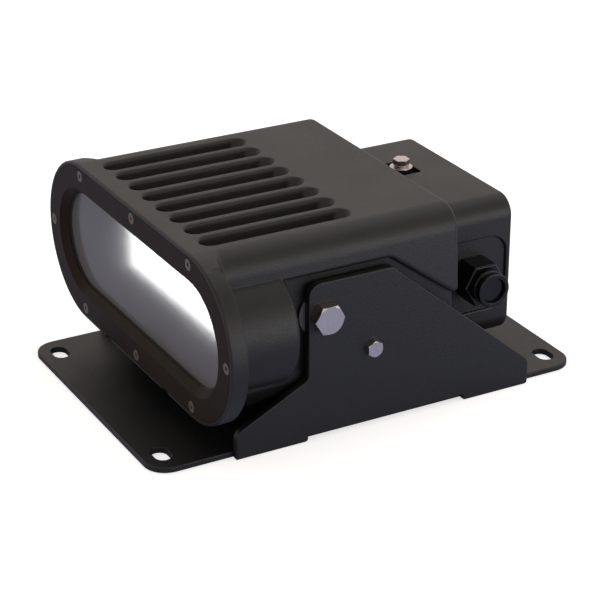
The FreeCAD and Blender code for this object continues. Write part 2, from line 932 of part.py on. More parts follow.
def lock_arc(sketch, half_width):
    """A curved slot about the pivot, as long as the tilt needs."""
    ends = [lock_place(s.tilt_down + s.tilt_spare), lock_place(-s.tilt_up - s.tilt_spare)]
    width = as_size(half_width)
    reach = math.hypot(*(item.number for item in ends[0]))
    angles = [math.atan2(end[1].number, end[0].number) for end in ends]
    turned = [
        ((0.0, 0.0), reach - width.number, angles[0], angles[1]),
        ((0.0, 0.0), reach + width.number, angles[0], angles[1]),
        (ends[0], width.number, angles[0] + math.pi, angles[0] + 2 * math.pi),
        (ends[1], width.number, angles[1], angles[1] + math.pi),
    ]
    arcs = []
    for middle, radius, start, stop in turned:
        around = Part.Circle(vector(middle), FreeCAD.Vector(0, 0, 1), radius)
        arcs.append(sketch.addGeometry(Part.ArcOfCircle(around, start, stop), False))
    for arc, place in zip(arcs, [(0.0, 0.0), (0.0, 0.0), ends[0]]):
        fix_point(sketch, arc, 3, place)
    joins = [(0, 1, 2, 1), (2, 2, 1, 1), (1, 2, 3, 1), (3, 2, 0, 2)]
    for one, one_end, other, other_end in joins:
        sketch.addConstraint(Sketcher.Constraint("Tangent", arcs[one], one_end, arcs[other], other_end))
    constrain(sketch, "DistanceX", -1, 1, arcs[3], 3, ends[1][0])
    constrain(sketch, "Radius", arcs[2], width)


def ring_screw_places():
    """Screw centres on the ring, about the middle of the window."""
    line = s.ring_screw_line
    places = [(side * (s.window_half_span + line), ORIGIN) for side in (-1, 1)]
    for up in (-1, 1):
        places += [(side * s.ring_screw_span, up * line) for side in (-1, 0, 1)]
    return places


def bored(body, plane, places, radius, length, back=False, **where):
    """Round holes at several places of one plane."""
    holes = sketch_on(body, plane, **where)
    for place in places:
        circle(holes, radius, place)
    return pocket(holes, length, back)


def window_chambers(body):
    """Steps for ring, glass and diffuser, the light chamber, screw holes and drain notches."""
    steps = [
        (front, ring_recess, s.ring_thickness),
        (ring_seat, s.glass_radius + s.glass_gap, diffuser_y - ring_seat),
        (diffuser_y, s.diffuser_radius + s.glass_gap, s.diffuser_thickness),
        (chamber_front, s.chamber_radius, chamber_rear - chamber_front),
    ]
    for place, radius, length in steps:
        step = sketch_on(body, "XZ", y=place, z=s.window_height)
        obround(step, s.window_half_span, radius)
        pocket(step, length)
    depth = s.ring_screw_length - s.ring_thickness + s.thread_end
    radius = s.ring_screw_thread / 2 + s.thread_gap
    bored(body, "XZ", ring_screw_places(), radius, depth, y=ring_seat, z=s.window_height)
    notches = sketch_on(body, "XZ", y=front, z=body_bottom)
    for side in (-1, 1):
        rectangle(notches, s.drain_width / 2, s.ring_lip + NEAR, middle=(side * s.drain_offset, 0.0))
    pocket(notches, s.ring_thickness)


def board_screw_places():
    pitch = s.chip_pitch
    return [(across * pitch, up * pitch) for across in BOARD_SCREW_COLUMNS for up in (-0.5, 0.5)]


def lead_place():
    return [(s.chip_pitch / 2, s.chip_pitch / 2)]


def driver_bay(body):
    """Chamber for the driver, open to the rear, with its screw holes and the wire hole."""
    bay = sketch_on(body, "XZ", y=s.housing_rear, z=bay_middle)
    rectangle(bay, s.bay_half, bay_height / 2, s.bay_corner)
    pocket(bay, s.housing_rear - bay_front, back=True)
    wall = {"y": chamber_rear, "z": s.window_height}
    bored(body, "XZ", lead_place(), s.lead_hole / 2, bay_front - chamber_rear, **wall)
    grip = s.board_screw_grip + s.thread_end
    radius = s.board_screw_thread / 2 + s.thread_gap
    bored(body, "XZ", board_screw_places(), radius, grip, **wall)
    grip = s.driver_screw_grip + s.thread_end
    radius = s.driver_screw_thread / 2 + s.thread_gap
    bored(body, "XY", driver_screw_places(), radius, grip, back=True, z=s.bay_bottom)
    radius = s.box_screw_thread / 2 + s.thread_gap
    grip = s.box_screw_grip + s.thread_end
    bored(body, "XZ", box_screw_places(), radius, grip, back=True, y=s.housing_rear, z=box_middle)


def housing():
    """The cast head: window flange, barrel, slotted block, side pockets, bosses and chambers."""
    forms = [window_form(), root_form()]
    body = new_body("housing")
    block_form(body)

    def prepare(item):
        item.Type = "Fuse"
        item.setObjects(forms)

    feature(body, "Boolean", True, prepare)
    pivot_bosses(body)
    window_chambers(body)
    driver_bay(body)
    cooling_slots(body)


# Window


def obround_plate(name, place, thickness, radius, inner=None):
    """A flat piece of the window's outline, with an opening where an inner radius is given."""
    body = new_body(name)
    plan = sketch_on(body, "XZ", y=place, z=s.window_height)
    obround(plan, s.window_half_span, radius)
    if inner is not None:
        obround(plan, s.window_half_span, inner)
    pad(plan, thickness)
    return body


def front_ring():
    """Clamping ring with a collar on the glass, a bevelled opening and countersunk holes."""
    body = obround_plate("front_ring", front, s.ring_thickness, ring_recess - s.ring_gap, s.ring_opening)
    collar = sketch_on(body, "XZ", y=ring_seat, z=s.window_height)
    obround(collar, s.window_half_span, s.glass_radius)
    obround(collar, s.window_half_span, s.ring_opening)
    pad(collar, s.collar_length)
    hole = s.ring_screw_thread / 2 + s.hole_clearance
    bored(body, "XZ", ring_screw_places(), hole, s.ring_thickness, y=front, z=s.window_height)
    sink = countersink() - hole
    chamfer(body, sink, lambda edge: lies_in(edge, "Y", front) and is_round(edge, hole))
    chamfer(body, s.ring_bevel, is_ring_opening)


def countersink():
    """Outer radius of a countersink, wide enough for the straight rim of the screw's head."""
    return s.ring_screw_head / 2 + s.head_land + s.thread_gap


def is_ring_opening(edge):
    if not lies_in(edge, "Y", front):
        return False
    if is_round(edge, s.ring_opening):
        return True
    height = abs(edge.CenterOfMass.z - s.window_height.number)
    return runs_along(edge, "X") and is_near(height, s.ring_opening)


def countersunk_screws(name, places, face, middle, thread, head, length, into):
    """Countersunk screws along Y with hexagon sockets. into is 1 where they point to +Y."""
    body = new_body(name)
    back = into < 0
    heads = sketch_on(body, "XZ", y=face, z=middle)
    shanks = sketch_on(body, "XZ", y=face, z=middle)
    for place in places:
        circle(heads, head / 2, place)
        circle(shanks, thread / 2, place)
    cone = head / 2 - thread / 2
    pad(heads, cone + s.head_land, back)
    under = face + into * (cone + s.head_land)
    chamfer(body, cone, lambda edge: lies_in(edge, "Y", under))
    pad(shanks, length, back)
    sockets = sketch_on(body, "XZ", y=face, z=middle)
    for place in places:
        hexagon(sockets, s.ring_screw_hex, place)
    pocket(sockets, s.ring_screw_socket, back)


def ring_screws():
    countersunk_screws(
        "ring_screws",
        ring_screw_places(),
        front,
        s.window_height,
        s.ring_screw_thread,
        s.ring_screw_head,
        s.ring_screw_length,
        1,
    )


def window_stack():
    """Glass between its two gaskets, and the diffuser behind it."""
    obround_plate("front_gasket", front_gasket_y, s.gasket_thickness, s.glass_radius, s.ring_opening)
    obround_plate("window_glass", glass_y, s.glass_thickness, s.glass_radius)
    obround_plate("rear_gasket", rear_gasket_y, s.gasket_thickness, s.glass_radius, s.chamber_radius)
    obround_plate("diffuser", diffuser_y, s.diffuser_thickness, s.diffuser_radius)


def light_source():
    """Heat pad, circuit board, light chips and the screws of the board."""
    hole = s.board_screw_thread / 2 + s.hole_clearance
    layers = [("heat_pad", pad_y, s.pad_thickness), ("led_board", board_y, s.board_thickness)]
    for name, place, thickness in layers:
        body = obround_plate(name, place, thickness, s.board_radius)
        bored(body, "XZ", board_screw_places(), hole, thickness, y=place, z=s.window_height)
        bored(body, "XZ", lead_place(), s.lead_hole / 2, thickness, y=place, z=s.window_height)
    chips = new_body("led_chips")
    span = s.chip_pitch * (s.chip_columns - 1)
    first = sketch_on(chips, "XZ", x=-span / 2, y=chip_y, z=s.window_height)
    for up in (-1, 0, 1):
        rectangle(first, s.chip_size / 2, s.chip_size / 2, middle=(0.0, up * s.chip_pitch))
    column = pad(first, s.chip_height)
    row(chips, [column], "X", span, s.chip_columns, adds=True)
    screws = new_body("board_screws")
    heads = sketch_on(screws, "XZ", y=board_y - s.board_screw_head_height, z=s.window_height)
    shanks = sketch_on(screws, "XZ", y=board_y, z=s.window_height)
    for place in board_screw_places():
        circle(heads, s.board_screw_head / 2, place)
        circle(shanks, s.board_screw_thread / 2, place)
    pad(heads, s.board_screw_head_height)
    pad(shanks, chamber_rear - board_y + s.board_screw_grip)


# Driver


def driver_screw_places():
    rear_end = s.driver_length - s.driver_front
    across = s.driver_half - s.driver_foot / 2
    ends = [-s.driver_front - s.driver_foot / 2, rear_end + s.driver_foot / 2]
    return [(side * across, end) for side in (-1, 1) for end in ends]


def driver():
    """Potted driver on four feet on the floor of its bay, and its screws."""
    body = new_body("led_driver")
    middle = s.driver_length / 2 - s.driver_front
    case = sketch_on(body, "XY", y=middle, z=s.bay_bottom)
    rectangle(case, s.driver_half, s.driver_length / 2)
    pad(case, s.driver_height)
    top = s.bay_bottom + s.driver_height
    fillet(body, s.driver_round, lambda edge: runs_along(edge, "Z") or lies_in(edge, "Z", top))
    feet = sketch_on(body, "XY", y=middle, z=s.bay_bottom)
    rectangle(feet, s.driver_half, s.driver_length / 2 + s.driver_foot)
    pad(feet, s.driver_foot_thickness)
    hole = s.driver_screw_thread / 2 + s.hole_clearance
    bored(body, "XY", driver_screw_places(), hole, s.driver_foot_thickness, z=s.bay_bottom)
    screws = new_body("driver_screws")
    seat = s.bay_bottom + s.driver_foot_thickness
    heads = sketch_on(screws, "XY", z=seat)
    shanks = sketch_on(screws, "XY", z=seat)
    for place in driver_screw_places():
        circle(heads, s.driver_screw_head / 2, place)
        circle(shanks, s.driver_screw_thread / 2, place)
    pad(heads, s.driver_screw_head_height)
    pad(shanks, s.driver_foot_thickness + s.driver_screw_grip, back=True)


# Terminal box


def box_screw_places():
    across = s.box_half - s.box_screw_inset
    up = box_half_height - s.box_screw_inset
    return [(side * across, level * up) for side in (-1, 1) for level in (-1, 1)]


def cover_screw_places():
    across = (cavity_half + recess_half) / 2
    up = (cavity_half_height + recess_half_height) / 2
    places = [(side * across, level * s.cover_screw_rise) for side in (-1, 1) for level in (-1, 1)]
    return places + [(side * s.cover_screw_spread, level * up) for side in (-1, 1) for level in (-1, 1)]


def seal_loop(sketch):
    """The square-section seal between the housing and the terminal box."""
    for extra in (0.0, s.box_seal_width):
        half = s.bay_half + s.box_seal_inset + extra
        up = bay_height / 2 + s.box_seal_inset + extra
        rectangle(sketch, half, up, s.bay_corner + extra, middle=(0.0, bay_middle - box_middle))


def terminal_box():
    """Cast box: cavity, recess for the cover, spot-faced entry, earth terminal and screw holes."""
    body = new_body("terminal_box")
    outside = sketch_on(body, "XZ", y=box_front, z=box_middle)
    rectangle(outside, s.box_half, box_half_height, s.box_corner)
    pad(outside, s.box_rear - box_front)
    fillet(body, s.box_edge_round, lambda edge: lies_in(edge, "Y", s.box_rear))
    cavity = sketch_on(body, "XZ", y=s.box_rear, z=box_middle)
    rectangle(cavity, cavity_half, cavity_half_height, s.cavity_corner)
    pocket(cavity, s.box_rear - cavity_front, back=True)
    recess = sketch_on(body, "XZ", y=s.box_rear, z=box_middle)
    rectangle(recess, recess_half, recess_half_height, s.cover_corner)
    pocket(recess, s.cover_thickness, back=True)
    groove = sketch_on(body, "XZ", y=box_front, z=box_middle)
    seal_loop(groove)
    pocket(groove, s.box_seal_depth)
    middle = {"y": cover_front, "z": box_middle}
    depth = s.box_screw_head_height + s.thread_end
    head = s.box_screw_head / 2 + s.hole_clearance
    bored(body, "XZ", box_screw_places(), head, depth, back=True, **middle)
    clear = s.box_screw_thread / 2 + s.hole_clearance
    bored(body, "XZ", box_screw_places(), clear, cover_front - box_front, back=True, **middle)
    radius = s.ring_screw_thread / 2 + s.thread_gap
    depth = s.cover_screw_length - s.cover_thickness + s.thread_end
    bored(body, "XZ", cover_screw_places(), radius, depth, back=True, **middle)
    spot = sketch_on(body, "YZ", x=spot_face, y=s.gland_back, z=s.gland_height)
    rectangle(spot, s.spot_half, s.spot_half, s.spot_corner)
    pocket(spot, s.spot_depth)
    entry = s.gland_thread / 2 + s.thread_gap
    place = {"x": spot_face, "y": s.gland_back, "z": s.gland_height}
    bored(body, "YZ", [(0.0, 0.0)], entry, spot_face - cavity_half, back=True, **place)
    bushing = s.bushing_thread / 2 + s.thread_gap
    bored(body, "XZ", [(0.0, 0.0)], bushing, s.box_front_wall, y=box_front, z=s.bushing_height)
    inner = s.earth_thread / 2 + s.thread_gap
    place = {"x": s.inner_earth_across, "y": cavity_front, "z": s.inner_earth_height}
    bored(body, "XZ", [(0.0, 0.0)], inner, s.inner_earth_grip + s.thread_end, back=True, **place)
    earth = {"x": -s.earth_across, "y": s.earth_back, "z": s.box_top}
    around = sketch_on(body, "XY", **earth)
    rectangle(around, s.earth_recess_length / 2, s.earth_recess_width / 2, s.earth_recess_corner)
    circle(around, s.earth_boss / 2)
    pocket(around, s.earth_recess_depth, back=True)
    bored(body, "XY", [(0.0, 0.0)], inner, s.earth_grip + s.thread_end, back=True, **earth)


def box_seal():
    body = new_body("box_seal")
    loop = sketch_on(body, "XZ", y=box_front, z=box_middle)
    seal_loop(loop)
    pad(loop, s.box_seal_depth)


def box_screws():
    """Long socket screws that hold the terminal box to the housing."""
    body = new_body("box_screws")
    under = cover_front - s.box_screw_head_height - s.thread_end
    heads = sketch_on(body, "XZ", y=under, z=box_middle)
    shanks = sketch_on(body, "XZ", y=under, z=box_middle)
    sockets = sketch_on(body, "XZ", y=under + s.box_screw_head_height, z=box_middle)
    for place in box_screw_places():
        circle(heads, s.box_screw_head / 2, place)
        circle(shanks, s.box_screw_thread / 2, place)
        hexagon(sockets, s.box_screw_hex, place)
    pad(heads, s.box_screw_head_height)
    pad(shanks, under - s.housing_rear + s.box_screw_grip, back=True)
    pocket(sockets, s.box_screw_head_height / 2, back=True)


def terminal_cover():
    """Cover let into the rear of the box, with a hollow spigot that carries its seal."""
    body = new_body("terminal_cover")
    plate = sketch_on(body, "XZ", y=cover_front, z=box_middle)
    gap = s.cover_gap
    rectangle(plate, recess_half - gap, recess_half_height - gap, s.cover_corner - gap)
    pad(plate, s.cover_thickness)
    chamfer(body, s.cover_edge, lambda edge: lies_in(edge, "Y", s.box_rear))
    spigot = sketch_on(body, "XZ", y=cover_front, z=box_middle)
    spigot_wall(spigot, s.spigot_wall)
    pad(spigot, s.spigot_length, back=True)
    groove = sketch_on(body, "XZ", y=cover_front - s.cover_seal_back, z=box_middle)
    spigot_wall(groove, s.cover_seal)
    pocket(groove, s.cover_seal, back=True)
    hole = s.ring_screw_thread / 2 + s.hole_clearance
    bored(body, "XZ", cover_screw_places(), hole, s.cover_thickness, y=cover_front, z=box_middle)
    sink = countersink() - hole
    chamfer(body, sink, lambda edge: lies_in(edge, "Y", s.box_rear) and is_round(edge, hole))


def spigot_wall(sketch, wall):
    """A rectangular loop just inside the cavity of the box, as thick as a given wall."""
    half = cavity_half - s.cover_gap
    up = cavity_half_height - s.cover_gap
    corner = s.cavity_corner - s.cover_gap
    rectangle(sketch, half, up, corner)
    rectangle(sketch, half - wall, up - wall, corner - wall)


def cover_seal():
    body = new_body("cover_seal")
    loop = sketch_on(body, "XZ", y=cover_front - s.cover_seal_back - s.cover_seal, z=box_middle)
    spigot_wall(loop, s.cover_seal)
    pad(loop, s.cover_seal)


def cover_screws():
    countersunk_screws(
        "cover_screws",
        cover_screw_places(),
        s.box_rear,
        box_middle,
        s.ring_screw_thread,
        s.ring_screw_head,
        s.cover_screw_length,
        -1,
    )


def line_bushing():
    """Sealed bushing that carries the wires from the driver bay to the terminals."""
    body = new_body("line_bushing")
    bar = sketch_on(body, "XZ", y=box_front - s.bushing_proud, z=s.bushing_height)
    circle(bar, s.bushing_thread / 2)
    pad(bar, s.box_front_wall + s.bushing_proud)
    collar = sketch_on(body, "XZ", y=cavity_front, z=s.bushing_height)
    hexagon(collar, s.bushing_hex)
    pad(collar, s.bushing_hex_length)


def way_places():
    first = -s.way_pitch
    return [(first + step * s.way_pitch, ORIGIN) for step in range(TERMINAL_WAYS)]


def terminal_block():
    """Terminal block on the front wall of the box, with wire holes from below and clamp screws."""
    body = new_body("terminal_block")
    face = sketch_on(body, "XZ", y=cavity_front, z=s.block_centre)
    rectangle(face, s.block_length / 2, s.block_height / 2)
    pad(face, s.block_depth)
    fillet(body, s.driver_round, lambda edge: runs_along(edge, "Y"))
    below = s.block_centre - s.block_height / 2
    row_y = cavity_front + s.block_depth / 2
    bored(body, "XY", way_places(), s.way_hole / 2, s.way_depth, y=row_y, z=below)
    rear = {"y": cavity_front + s.block_depth, "z": s.block_centre - s.block_height / 4}
    reach = s.block_depth / 2
    bored(body, "XZ", way_places(), s.clamp_screw / 2 + s.thread_gap, reach, back=True, **rear)
    screws = new_body("clamp_screws")
    ends = sketch_on(screws, "XZ", **rear)
    for place in way_places():
        circle(ends, s.clamp_screw / 2, place)
    pad(ends, s.clamp_screw_length, back=True)


# Cable gland


def gland():
    """Sealing washer, hexagon body, grooved nut, sealing sleeve and blanking disc."""
    axis = {"y": s.gland_back, "z": s.gland_height}
    thread = s.gland_thread / 2
    bore = s.gland_bore / 2
    washer = new_body("gland_washer")
    flat = sketch_on(washer, "YZ", x=spot_face, **axis)
    circle(flat, s.gland_hex / 2)
    circle(flat, thread + s.thread_gap)
    pad(flat, s.gland_washer)
    body = new_body("gland_body")
    flats = sketch_on(body, "YZ", x=gland_washer_face, **axis)
    hexagon(flats, s.gland_hex)
    circle(flats, bore)
    pad(flats, s.gland_hex_length)
    chamfer(
        body,
        s.gland_edge,
        lambda edge: lies_in(edge, "X", gland_hex_face) and not is_round(edge, bore),
    )
    spigot = sketch_on(body, "YZ", x=gland_washer_face - s.gland_grip, **axis)
    circle(spigot, thread)
    circle(spigot, bore)
    pad(spigot, s.gland_grip)
    nut = new_body("gland_nut")
    profile = sketch_on(nut, "XZ", **axis)
    outside = s.gland_nut / 2
    inside = s.gland_blank / 2
    low = outside - s.gland_groove
    step = s.gland_nut_length / NUT_STEPS
    outline(
        profile,
        [
            (gland_hex_face, inside),
            (gland_hex_face, low),
            (gland_hex_face + step, low),
            (gland_hex_face + step, outside),
            (gland_hex_face + step * 2, outside),
            (gland_hex_face + step * 2, low),
            (gland_hex_face + step * 3, low),
            (gland_hex_face + step * 3, outside),
            (gland_end, outside),
            (gland_end, inside),
        ],
        {8: s.gland_edge},
    )
    spin(profile)
    sleeve = new_body("gland_sleeve")
    tube = sketch_on(sleeve, "YZ", x=gland_hex_face, **axis)
    circle(tube, inside - s.thread_gap)
    circle(tube, bore)
    pad(tube, s.gland_nut_length - s.gland_blank_recess - s.gland_blank_thickness)
    disc = new_body("gland_blank")
    plug = sketch_on(disc, "YZ", x=gland_end - s.gland_blank_recess - s.gland_blank_thickness, **axis)
    circle(plug, inside - s.thread_gap)
    pad(plug, s.gland_blank_thickness)


# Earth terminals


def earth_terminal():
    """Washer, spring washer and screw on the boss at the top of the box."""
    axis = {"x": -s.earth_across, "y": s.earth_back}
    shank = s.earth_thread / 2
    level = s.box_top
    washers = [
        ("earth_washer", s.earth_washer, s.earth_washer_thickness),
        ("earth_spring_washer", s.earth_spring_washer, s.earth_washer_thickness),
    ]
    for name, width, thickness in washers:
        ring = new_body(name)
        flat = sketch_on(ring, "XY", z=level, **axis)
        circle(flat, width / 2)
        circle(flat, shank + s.thread_gap)
        pad(flat, thickness)
        level = level + thickness
    hex_screw("earth_screw", "XY", {"z": level, **axis}, s.earth_grip + level - s.box_top)


def hex_screw(name, plane, place, reach):
    """A small hexagon screw: head from its plane outwards, shank the other way."""
    body = new_body(name)
    head = sketch_on(body, plane, **place)
    hexagon(head, s.earth_hex)
    pad(head, s.earth_head)
    top = as_size(place["y" if plane == "XZ" else "z"]) + s.earth_head
    chamfer(body, s.earth_edge, lambda edge: lies_in(edge, "Y" if plane == "XZ" else "Z", top))
    shank = sketch_on(body, plane, **place)
    circle(shank, s.earth_thread / 2)
    pad(shank, reach, back=True)


def inner_earth_screw():
    place = {"x": s.inner_earth_across, "y": cavity_front, "z": s.inner_earth_height}
    hex_screw("inner_earth_screw", "XZ", place, s.inner_earth_grip)


BUILDERS = [
    base_plate,
    lambda: side_plate("side_plate_left", -1),
    lambda: side_plate("side_plate_right", 1),
    lock_screws,
    pivot_bolts,
    pivot_washers,
    housing,
    front_ring,
    ring_screws,
    window_stack,
    light_source,
    driver,
    terminal_box,
    box_seal,
    box_screws,
    terminal_cover,
    cover_seal,
    cover_screws,
    line_bushing,
    terminal_block,
    gland,
    earth_terminal,
    inner_earth_screw,
]

for build in BUILDERS:
    build()
doc.recompute()


def check():
    """Stops before anything is written where an object failed or a piece is not sound."""
    for item in doc.Objects:
        if "Invalid" in item.State or "Error" in item.State:
            raise RuntimeError(f"{item.Name} failed: {item.State}")
    for piece in PIECES:
        shape = piece.Shape
        if shape.isNull() or not shape.isValid() or not shape.Solids:
            raise RuntimeError(f"{piece.Label} is not a sound solid")


check()
os.makedirs("parts", exist_ok=True)
for piece in PIECES:
    piece.Shape.exportStep(os.path.join("parts", f"{piece.Label}.step"))
    print(f"{piece.Label}: {len(piece.Shape.Solids)} solids, {piece.Shape.Volume:.0f} mm3")
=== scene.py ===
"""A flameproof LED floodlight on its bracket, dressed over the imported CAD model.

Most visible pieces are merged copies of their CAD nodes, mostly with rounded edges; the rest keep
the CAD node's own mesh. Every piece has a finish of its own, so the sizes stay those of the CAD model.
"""

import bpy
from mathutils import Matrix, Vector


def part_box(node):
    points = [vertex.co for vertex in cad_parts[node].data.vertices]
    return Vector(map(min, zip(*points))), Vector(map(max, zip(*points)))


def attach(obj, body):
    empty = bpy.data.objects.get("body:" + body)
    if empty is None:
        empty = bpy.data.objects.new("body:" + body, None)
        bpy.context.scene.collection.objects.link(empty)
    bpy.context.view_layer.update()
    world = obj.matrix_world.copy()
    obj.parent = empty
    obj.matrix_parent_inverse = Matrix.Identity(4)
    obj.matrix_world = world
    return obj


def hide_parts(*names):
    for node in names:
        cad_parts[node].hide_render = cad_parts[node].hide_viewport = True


bl_info = {
    "name": "Flameproof LED floodlight",
    "version": (1, 0, 0),
    "blender": (4, 5, 0),
    "location": "3D View > Sidebar > Floodlight",
    "description": "Dresses the packed model of a slotted LED floodlight and sets up its studio",
    "category": "Add Mesh",
}

import math

import bmesh
import bpy
from bpy.props import FloatProperty, FloatVectorProperty, PointerProperty
from bpy.types import Operator, Panel, PropertyGroup
from mathutils import Vector

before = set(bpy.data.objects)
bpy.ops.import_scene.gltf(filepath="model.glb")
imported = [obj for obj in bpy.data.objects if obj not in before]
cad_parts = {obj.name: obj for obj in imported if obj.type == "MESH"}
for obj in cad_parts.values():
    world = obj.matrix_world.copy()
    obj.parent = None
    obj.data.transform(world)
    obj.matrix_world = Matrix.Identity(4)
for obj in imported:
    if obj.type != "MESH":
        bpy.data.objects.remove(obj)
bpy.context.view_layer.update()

MM = 0.001
HEAD = "head"
BRACKET = "bracket"

# Corners of a node that are nearer than this are one, and faces that turn less than this are flat
SAME_PLACE = 0.002 * MM
FLAT_TURN = math.radians(0.3)
# Edges that turn more than this are rounded, and the spot face's rim turns more than this
SHARP_TURN = math.radians(28.0)
RIM_TURN = math.radians(45.0)

# The housing's barrel: an obround behind the window flange. A face is part of it if its corners
# keep to the radius and its normal to the way out.
BARREL_RADIUS = 39.0 * MM
BARREL_HALF = 81.5 * MM
BARREL_HEIGHT = 79.1 * MM
BARREL_FRONT = -110.0 * MM
BARREL_REAR = -65.0 * MM
BARREL_SLACK = 0.4 * MM
BARREL_FIT = 0.93

# The gland's spot face keeps within this distance of the gland's middle, and its rim is level with
# the box's side
SPOT_REACH = 26.0 * MM
SPOT_SLACK = 0.05 * MM

# Lamps: place, width and height in metres. The window strip's place is its middle before the glass.
LAMP_TARGET = Vector((0.0, 0.0, 0.06))
SOFTBOX = (Vector((-0.25, 0.35, 1.25)), 1.3, 1.3)
SIDE_PANEL = (Vector((1.3, 0.7, 0.24)), 0.9, 0.45)
STRIP = (Vector((-0.0715, -0.06, 0.0425)), 0.163, 0.042)

# The floor lies this far under the base plate, and reaches this far from its middle
FLOOR_GAP = 0.3 * MM
FLOOR_REACH = 4.0


# Sizes and colours that a user may change


class CoatSettings(PropertyGroup):
    """Powder coat of the castings, the bracket and the clamping plates."""

    casting: FloatVectorProperty(
        name="Casting", description="Coat of the housing and the terminal box",
        subtype="COLOR", size=3, min=0.0, max=1.0, default=(0.0042, 0.0038, 0.0036),
    )
    bracket: FloatVectorProperty(
        name="Bracket", description="Coat of the base plate and side plates",
        subtype="COLOR", size=3, min=0.0, max=1.0, default=(0.0036, 0.0036, 0.0039),
    )
    ring: FloatVectorProperty(
        name="Ring", description="Smoother coat of the clamping ring and the rear cover",
        subtype="COLOR", size=3, min=0.0, max=1.0, default=(0.0225, 0.0150, 0.0105),
    )
    roughness: FloatProperty(
        name="Roughness", description="Roughness of the textured coat",
        subtype="FACTOR", min=0.0, max=1.0, default=0.46,
    )
    grain: FloatProperty(
        name="Grain size", description="Width of one grain of the textured coat",
        subtype="DISTANCE", unit="LENGTH", min=0.0001, max=0.01, default=0.0008,
    )
    grain_height: FloatProperty(
        name="Grain height", description="Height of the coat's grain",
        subtype="DISTANCE", unit="LENGTH", min=0.0, max=0.001, default=0.0002, precision=5,
    )


class EdgeSettings(PropertyGroup):
    """Radii of the broken edges."""

    casting: FloatProperty(
        name="Castings", description="Edge radius of the housing and the terminal box",
        subtype="DISTANCE", unit="LENGTH", min=0.0, max=0.01, default=0.0012,
    )
    plate: FloatProperty(
        name="Plates", description="Edge radius of the base, side plates, ring and cover",
        subtype="DISTANCE", unit="LENGTH", min=0.0, max=0.01, default=0.0006,
    )
    bolt: FloatProperty(
        name="Bolts", description="Edge radius of the hexagon heads",
        subtype="DISTANCE", unit="LENGTH", min=0.0, max=0.01, default=0.00025,
    )
    moulding: FloatProperty(
        name="Mouldings", description="Edge radius of the gland's plastic pieces",
        subtype="DISTANCE", unit="LENGTH", min=0.0, max=0.01, default=0.0006,
    )


class WindowSettings(PropertyGroup):
    """Glass pane and the opal plate behind it."""

    # The pane's grey base colour is a painted reflection of the pale studio, not a tint of the glass
    glass: FloatVectorProperty(
        name="Glass", description="Grey of the toughened pane",
        subtype="COLOR", size=3, min=0.0, max=1.0, default=(0.160, 0.153, 0.150),
    )
    cover: FloatProperty(
        name="Cover", description="How much the pane hides what is behind it",
        subtype="FACTOR", min=0.0, max=1.0, default=0.85,
    )
    opal: FloatVectorProperty(
        name="Opal", description="Colour of the diffuser",
        subtype="COLOR", size=3, min=0.0, max=1.0, default=(0.62, 0.64, 0.67),
    )


class StudioSettings(PropertyGroup):
    """Camera, lamps and floor."""

    azimuth: FloatProperty(
        name="Azimuth", description="Camera's turn from the front of the lamp towards the gland's side",
        subtype="ANGLE", unit="ROTATION", default=math.radians(61.223),
    )
    elevation: FloatProperty(
        name="Elevation", description="Camera's height above the horizon",
        subtype="ANGLE", unit="ROTATION", default=math.radians(25.069),
    )
    distance: FloatProperty(
        name="Distance", description="From the camera to the point that it looks at",
        subtype="DISTANCE", unit="LENGTH", min=0.1, default=1.37837,
    )
    target: FloatVectorProperty(
        name="Target", description="Point that the camera looks at",
        subtype="TRANSLATION", unit="LENGTH", size=3, default=(-0.0017, 0.0, 0.04276),
    )
    lens: FloatProperty(
        name="Focal length", description="Lens over a sensor 36 mm wide",
        unit="CAMERA", min=1.0, default=124.41,
    )
    softbox: FloatProperty(
        name="Softbox", description="Power of the large lamp overhead",
        unit="POWER", min=0.0, default=3.5,
    )
    side_panel: FloatProperty(
        name="Side panel", description="Power of the upright lamp on the gland's side",
        unit="POWER", min=0.0, default=4.2,
    )
    window_strip: FloatProperty(
        name="Window strip", description="Power of the strip lamp that only the glass reflects",
        unit="POWER", min=0.0, default=0.36,
    )
    horizon: FloatVectorProperty(
        name="Horizon", description="Light of the sky near the horizon",
        subtype="COLOR", size=3, min=0.0, max=2.0, default=(0.86, 0.78, 0.73),
    )
    zenith: FloatVectorProperty(
        name="Zenith", description="Light of the sky overhead",
        subtype="COLOR", size=3, min=0.0, max=2.0, default=(0.30, 0.29, 0.28),
    )
    floor: FloatVectorProperty(
        name="Floor", description="Colour of the studio floor",
        subtype="COLOR", size=3, min=0.0, max=1.0, default=(0.50, 0.56, 0.80),
    )


# Finishes


class Wire:
    """A socket of a finish. Sums and products on it add Math nodes."""

    def __init__(self, finish, socket):
        self.finish = finish
        self.socket = socket

    def sum(self, operation, first, second=0.0):
        return self.finish.node("ShaderNodeMath", {"operation": operation}, {0: first, 1: second})

    def __add__(self, other):
        return self.sum("ADD", self, other)

    __radd__ = __add__

    def __sub__(self, other):
        return self.sum("SUBTRACT", self, other)

    def __rsub__(self, other):
        return self.sum("SUBTRACT", other, self)

    def __mul__(self, other):
        return self.sum("MULTIPLY", self, other)

    __rmul__ = __mul__


